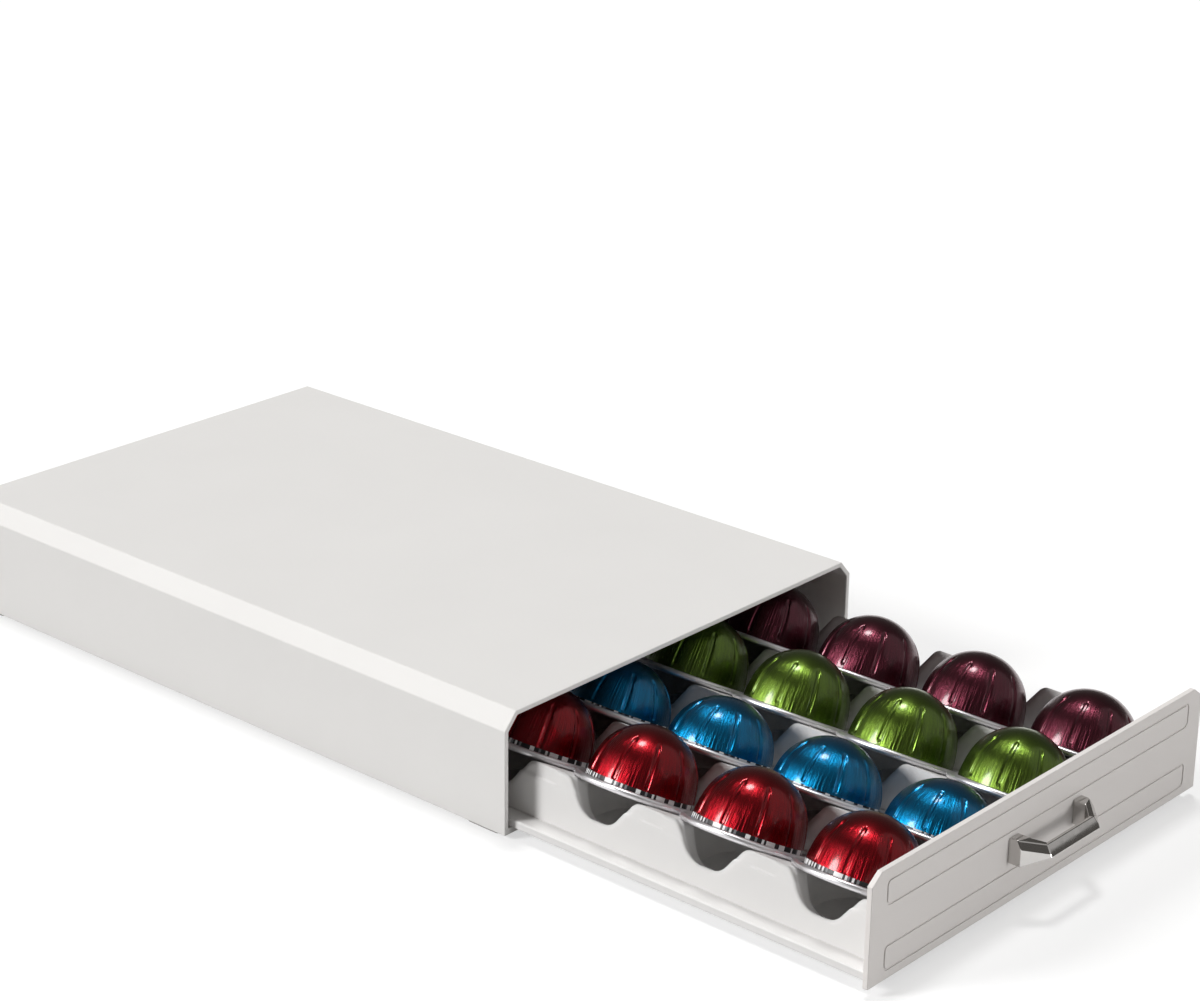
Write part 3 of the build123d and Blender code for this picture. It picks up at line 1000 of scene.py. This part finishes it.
class DRAWER_OT_capsules(Operator):
    """Builds the capsules and finishes their lids"""

    bl_idname = "capsule_drawer.capsules"
    bl_label = "Capsules"

    def execute(self, context):
        sizes = context.scene.drawer_capsules
        foil = lid_foil()
        rim = rim_metal()
        ticks = code_ring(sizes)
        upwards = Vector((sin(sizes.lean), 0.0, cos(sizes.lean)))
        forwards = Vector((0.0, -1.0, 0.0))
        sideways = upwards.cross(forwards)
        for column, colour in enumerate(COLUMNS):
            height = sizes.low_height if colour in LOW_COLUMNS else sizes.tall_height
            lacquer = capsule_lacquer(f"capsule_{colour}", getattr(sizes, colour))
            code = sizes.code_tops[column]
            dome = dome_mesh(f"{colour}_dome", sizes, height, code, (lacquer, ticks, rim))
            for row in ROWS:
                low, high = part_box(f"{colour}_capsule_{row}_lid")
                place = Matrix((forwards, sideways, upwards)).transposed().to_4x4()
                place.translation = (low + high) / 2 - upwards * sizes.lid_thickness / 2
                mesh = dome.copy()
                mesh.name = f"{colour}_capsule_{row}_dome"
                mesh.transform(place @ Matrix.Rotation(seat_turn(column, row), 4, "Z"))
                body = f"{colour}_capsule_{row}" if row in LOOSE_ROWS else "drawer"
                cup = f"{colour}_capsule_{row}_cup"
                add_piece(mesh.name, mesh, body, f"capsule_{colour}", cup)
                paint(f"{colour}_capsule_{row}_lid", foil)
            bpy.data.meshes.remove(dome)
        return {"FINISHED"}


# Stage

FLOOR_TONES = (0.995, 1.005)
FLOOR_SEGMENTS = 96
FLOOR_DROP = 0.0002  # Keeps the floor clear of the feet
HORIZON_SPAN = (0.02, 0.1)  # Rise between which the pale horizon fades into the surroundings
SENSOR_WIDTH = 36.0


def add_floor(scene, stage):
    """Adds the pale floor, which shows white and keeps the shadow."""
    finish, tree, shader = new_finish("stage_floor")
    mottle = noise(tree, object_place(tree), scale=3.0)
    rays = add_node(tree, "ShaderNodeLightPath").outputs
    seen = maths(tree, "MAXIMUM", rays["Is Camera Ray"], rays["Is Glossy Ray"])
    seen = maths(tree, "MAXIMUM", seen, rays["Is Transmission Ray"])
    fill(tree, shader, {
        "Base Color": tones(tree, mottle, stage.floor_colour, FLOOR_TONES),
        "Roughness": 0.9,
        "Specular IOR Level": 0.0,
        "Emission Color": (1.0, 1.0, 1.0, 1.0),
        "Emission Strength": maths(tree, "MULTIPLY", seen, stage.floor_glow),
    })
    bm = bmesh.new()
    bmesh.ops.create_circle(
        bm, cap_ends=True, segments=FLOOR_SEGMENTS, radius=stage.floor_radius,
    )
    bmesh.ops.translate(bm, verts=bm.verts, vec=(0.0, 0.0, -FLOOR_DROP))
    floor_piece = bpy.data.objects.new("floor", finish_mesh("floor", bm, finish))
    scene.collection.objects.link(floor_piece)


def add_lights(scene, stage):
    """Adds the lights overhead and at the left, a wide weak one at the right and one in front."""
    for name in ("overhead", "left", "right", "front"):
        light = bpy.data.lights.new(f"{name}_light", "SUN")
        light.energy = getattr(stage, f"{name}_strength")
        light.angle = getattr(stage, f"{name}_angle")
        lamp = bpy.data.objects.new(f"{name}_light", light)
        direction = Vector(getattr(stage, f"{name}_direction"))
        lamp.rotation_euler = direction.to_track_quat("Z", "Y").to_euler()
        scene.collection.objects.link(lamp)


def add_surroundings(scene, stage):
    """Sets the dim surroundings, which are pale along the horizon."""
    world = scene.world or bpy.data.worlds.new("surroundings")
    scene.world = world
    world.use_nodes = True
    tree = world.node_tree
    tree.nodes.clear()
    up = split(tree, add_node(tree, "ShaderNodeTexCoord").outputs["Generated"])["Z"]
    level = span(tree, up, HORIZON_SPAN, (stage.horizon, stage.surroundings), smooth=True)
    sockets = {"Color": (*stage.surroundings_colour, 1.0), "Strength": level}
    background = add_node(tree, "ShaderNodeBackground", sockets).outputs["Background"]
    add_node(tree, "ShaderNodeOutputWorld", {"Surface": background})


def add_camera(scene, stage):
    """Adds the camera."""
    lens = bpy.data.cameras.new("camera")
    lens.sensor_fit = "HORIZONTAL"
    lens.sensor_width = SENSOR_WIDTH
    lens.lens = stage.camera_lens
    camera = bpy.data.objects.new("camera", lens)
    turn, rise = stage.camera_azimuth, stage.camera_elevation
    backwards = Vector((sin(turn) * cos(rise), -cos(turn) * cos(rise), sin(rise)))
    right = Vector((0.0, 0.0, 1.0)).cross(backwards).normalized()
    axes = Matrix((right, backwards.cross(right), backwards)).transposed().to_4x4()
    roll = Matrix.Rotation(stage.camera_roll, 4, "Z")
    camera.matrix_world = Matrix.Translation(stage.camera_place) @ axes @ roll
    scene.collection.objects.link(camera)
    scene.camera = camera


class DRAWER_OT_stage(Operator):
    """Adds the floor, the light and the camera"""

    bl_idname = "capsule_drawer.stage"
    bl_label = "Stage"

    def execute(self, context):
        scene = context.scene
        stage = scene.drawer_stage
        add_floor(scene, stage)
        add_lights(scene, stage)
        add_surroundings(scene, stage)
        add_camera(scene, stage)
        scene.view_settings.view_transform = "Standard"
        return {"FINISHED"}


class DRAWER_PT_pieces(Panel):
    """Lists the operators and their settings"""

    bl_idname = "DRAWER_PT_pieces"
    bl_label = "Capsule Drawer"
    bl_space_type = "VIEW_3D"
    bl_region_type = "UI"
    bl_category = "Capsule Drawer"

    def draw(self, context):
        for operator, group in OPERATORS:
            box = self.layout.box()
            box.operator(operator.bl_idname)
            settings = getattr(context.scene, group)
            for name in settings.bl_rna.properties.keys():
                if name not in ("rna_type", "name"):
                    box.prop(settings, name)


SETTINGS = {
    "drawer_plastic": PlasticSettings,
    "drawer_cabinet": CabinetSettings,
    "drawer_handle": HandleSettings,
    "drawer_capsules": CapsuleSettings,
    "drawer_stage": StageSettings,
}
OPERATORS = (
    (DRAWER_OT_cabinet, "drawer_cabinet"),
    (DRAWER_OT_tray, "drawer_plastic"),
    (DRAWER_OT_front_panel, "drawer_plastic"),
    (DRAWER_OT_handle, "drawer_handle"),
    (DRAWER_OT_capsules, "drawer_capsules"),
    (DRAWER_OT_stage, "drawer_stage"),
)
CLASSES = (
    *SETTINGS.values(), *(operator for operator, group in OPERATORS), DRAWER_PT_pieces,
)


def register():
    """Registers the classes and hangs the settings on the scene."""
    for cls in CLASSES:
        bpy.utils.register_class(cls)
    for name, group in SETTINGS.items():
        setattr(bpy.types.Scene, name, PointerProperty(type=group))


def unregister():
    """Takes the settings and the classes away again."""
    for name in SETTINGS:
        delattr(bpy.types.Scene, name)
    for cls in reversed(CLASSES):
        bpy.utils.unregister_class(cls)


def main():
    """Builds the object and its stage."""
    register()
    bpy.ops.capsule_drawer.cabinet()
    bpy.ops.capsule_drawer.tray()
    bpy.ops.capsule_drawer.front_panel()
    bpy.ops.capsule_drawer.handle()
    bpy.ops.capsule_drawer.capsules()
    bpy.ops.capsule_drawer.stage()


if __name__ == "__main__":
    main()
